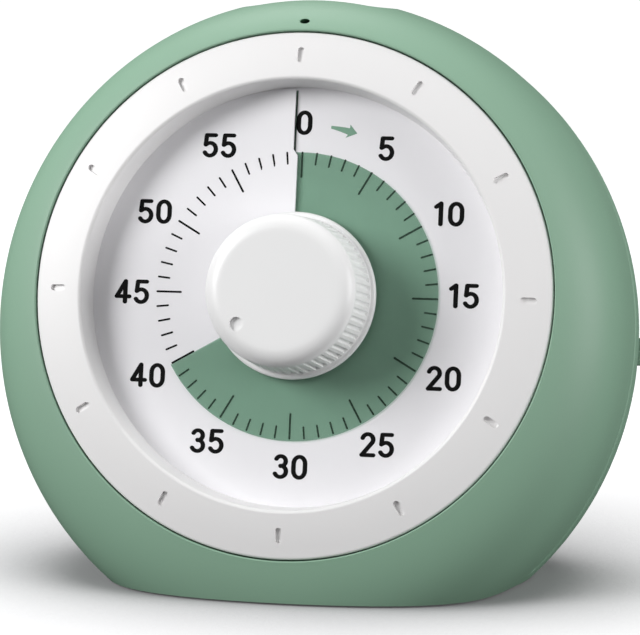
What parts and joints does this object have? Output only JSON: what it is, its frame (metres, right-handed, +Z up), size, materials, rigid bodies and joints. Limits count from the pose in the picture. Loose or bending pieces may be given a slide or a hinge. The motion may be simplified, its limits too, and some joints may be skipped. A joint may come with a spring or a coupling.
{
  "type": "visual countdown timer",
  "caption": "Free-standing round countdown timer: coloured film shows the time left on a dial, set by a central knob.",
  "frame": {"origin": "under the middle of the timer on the table, halfway from the front of the knob to the back of the case", "axes": "+X to the viewer's right, +Y from the viewer through the timer to its back, +Z up"},
  "size_m": [0.0922, 0.0604, 0.0835],
  "materials": {
    "shell_green": "fine matte texture",
    "ring_white": "satin",
    "dial_white": "matte",
    "film_green": "thin tinted film",
    "knob_white": "satin",
    "gear_plastic": "moulded, unfilled",
    "steel": "plain",
    "magnet": "sintered, dark",
    "copper": "enamelled wire",
    "board": "solder resist",
    "crystal_can": "plated can",
    "black_plastic": "moulded",
    "movement_plastic": "moulded",
    "cell_jacket": "plain jacket",
    "rubber_grey": "matte"
  },
  "bodies": {
    "case": {"front_shell": "shell_green", "rear_shell": "shell_green", "bezel_ring": "ring_white", "dial_plate": "dial_white", "stator": "steel", "coil_core": "steel", "coil_winding": "copper", "circuit_board": "board", "quartz_crystal": "crystal_can", "sounder": "black_plastic", "movement_front_case": "movement_plastic", "movement_back_case": "movement_plastic", "battery_cell": "cell_jacket", "positive_contact": "steel", "negative_spring": "steel", "switch_body": "black_plastic", "case_screws": "steel", "ring_screws": "steel", "movement_screws": "steel", "base_feet": "rubber_grey"},
    "timer": {"control_knob": "knob_white", "timer_spindle": "steel", "film_collar": "black_plastic", "clutch_spring": "steel"},
    "film_middle": {"film_middle_half": "film_green", "film_tail": "film_green"},
    "film_leading": {"film_leading_half": "film_green"},
    "timer_train": {"timer_wheel": "gear_plastic"},
    "third_train": {"third_wheel": "gear_plastic"},
    "second_train": {"second_wheel": "gear_plastic"},
    "middle_train": {"middle_wheel": "gear_plastic"},
    "rotor": {"rotor_pinion": "gear_plastic", "rotor_magnet": "magnet"},
    "sound_switch": {"switch_slider": "shell_green"},
    "door": {"battery_door": "shell_green"}
  },
  "joints": [
    {"name": "timer_turn", "type": "hinge", "parent": "case", "child": "timer", "pos_m": [0, -0.01722, 0.0423], "axis": [0, 0.9781, -0.2079], "range_deg": [-240, 120]},
    {"name": "film_middle_turn", "type": "hinge", "parent": "case", "child": "film_middle", "pos_m": [0, -0.01722, 0.0423], "axis": [0, 0.9781, -0.2079], "range_deg": [-120, 60], "deforming": ["film_middle_half", "film_tail"]},
    {"name": "film_leading_turn", "type": "hinge", "parent": "film_middle", "child": "film_leading", "pos_m": [0, -0.01722, 0.0423], "axis": [0, 0.9781, -0.2079], "range_deg": [-120, 60], "deforming": ["film_leading_half"]},
    {"name": "rotor_spin", "type": "hinge", "parent": "case", "child": "rotor", "pos_m": [0.00674, -0.00581, 0.04788], "axis": [0, 0.9781, -0.2079], "continuous": true},
    {"name": "middle_wheel_spin", "type": "hinge", "parent": "case", "child": "middle_train", "pos_m": [0.00068, -0.00508, 0.05131], "axis": [0, 0.9781, -0.2079], "continuous": true},
    {"name": "second_wheel_spin", "type": "hinge", "parent": "case", "child": "second_train", "pos_m": [-0.00657, -0.00467, 0.0532], "axis": [0, 0.9781, -0.2079], "continuous": true},
    {"name": "third_wheel_spin", "type": "hinge", "parent": "case", "child": "third_train", "pos_m": [-0.00877, -0.00638, 0.04517], "axis": [0, 0.9781, -0.2079], "continuous": true},
    {"name": "timer_wheel_spin", "type": "hinge", "parent": "case", "child": "timer_train", "pos_m": [0, -0.01722, 0.0423], "axis": [0, 0.9781, -0.2079], "continuous": true},
    {"name": "sound_switch_slide", "type": "slide", "parent": "case", "child": "sound_switch", "axis": [0, 0.2079, 0.9781], "range_m": [-0.001, 0.001]},
    {"name": "battery_door_off", "type": "slide", "parent": "case", "child": "door", "axis": [0, 0.9781, -0.2079], "range_m": [0, 0.018]}
  ],
  "couplings": [
    {"joint": "film_middle_turn", "follows": "timer_turn", "ratio": 0.5},
    {"joint": "film_leading_turn", "follows": "timer_turn", "ratio": 0.5},
    {"joint": "middle_wheel_spin", "follows": "rotor_spin", "ratio": -0.16667},
    {"joint": "second_wheel_spin", "follows": "rotor_spin", "ratio": 0.033333},
    {"joint": "third_wheel_spin", "follows": "rotor_spin", "ratio": -0.0044444},
    {"joint": "timer_wheel_spin", "follows": "rotor_spin", "ratio": 0.00055556}
  ]
}
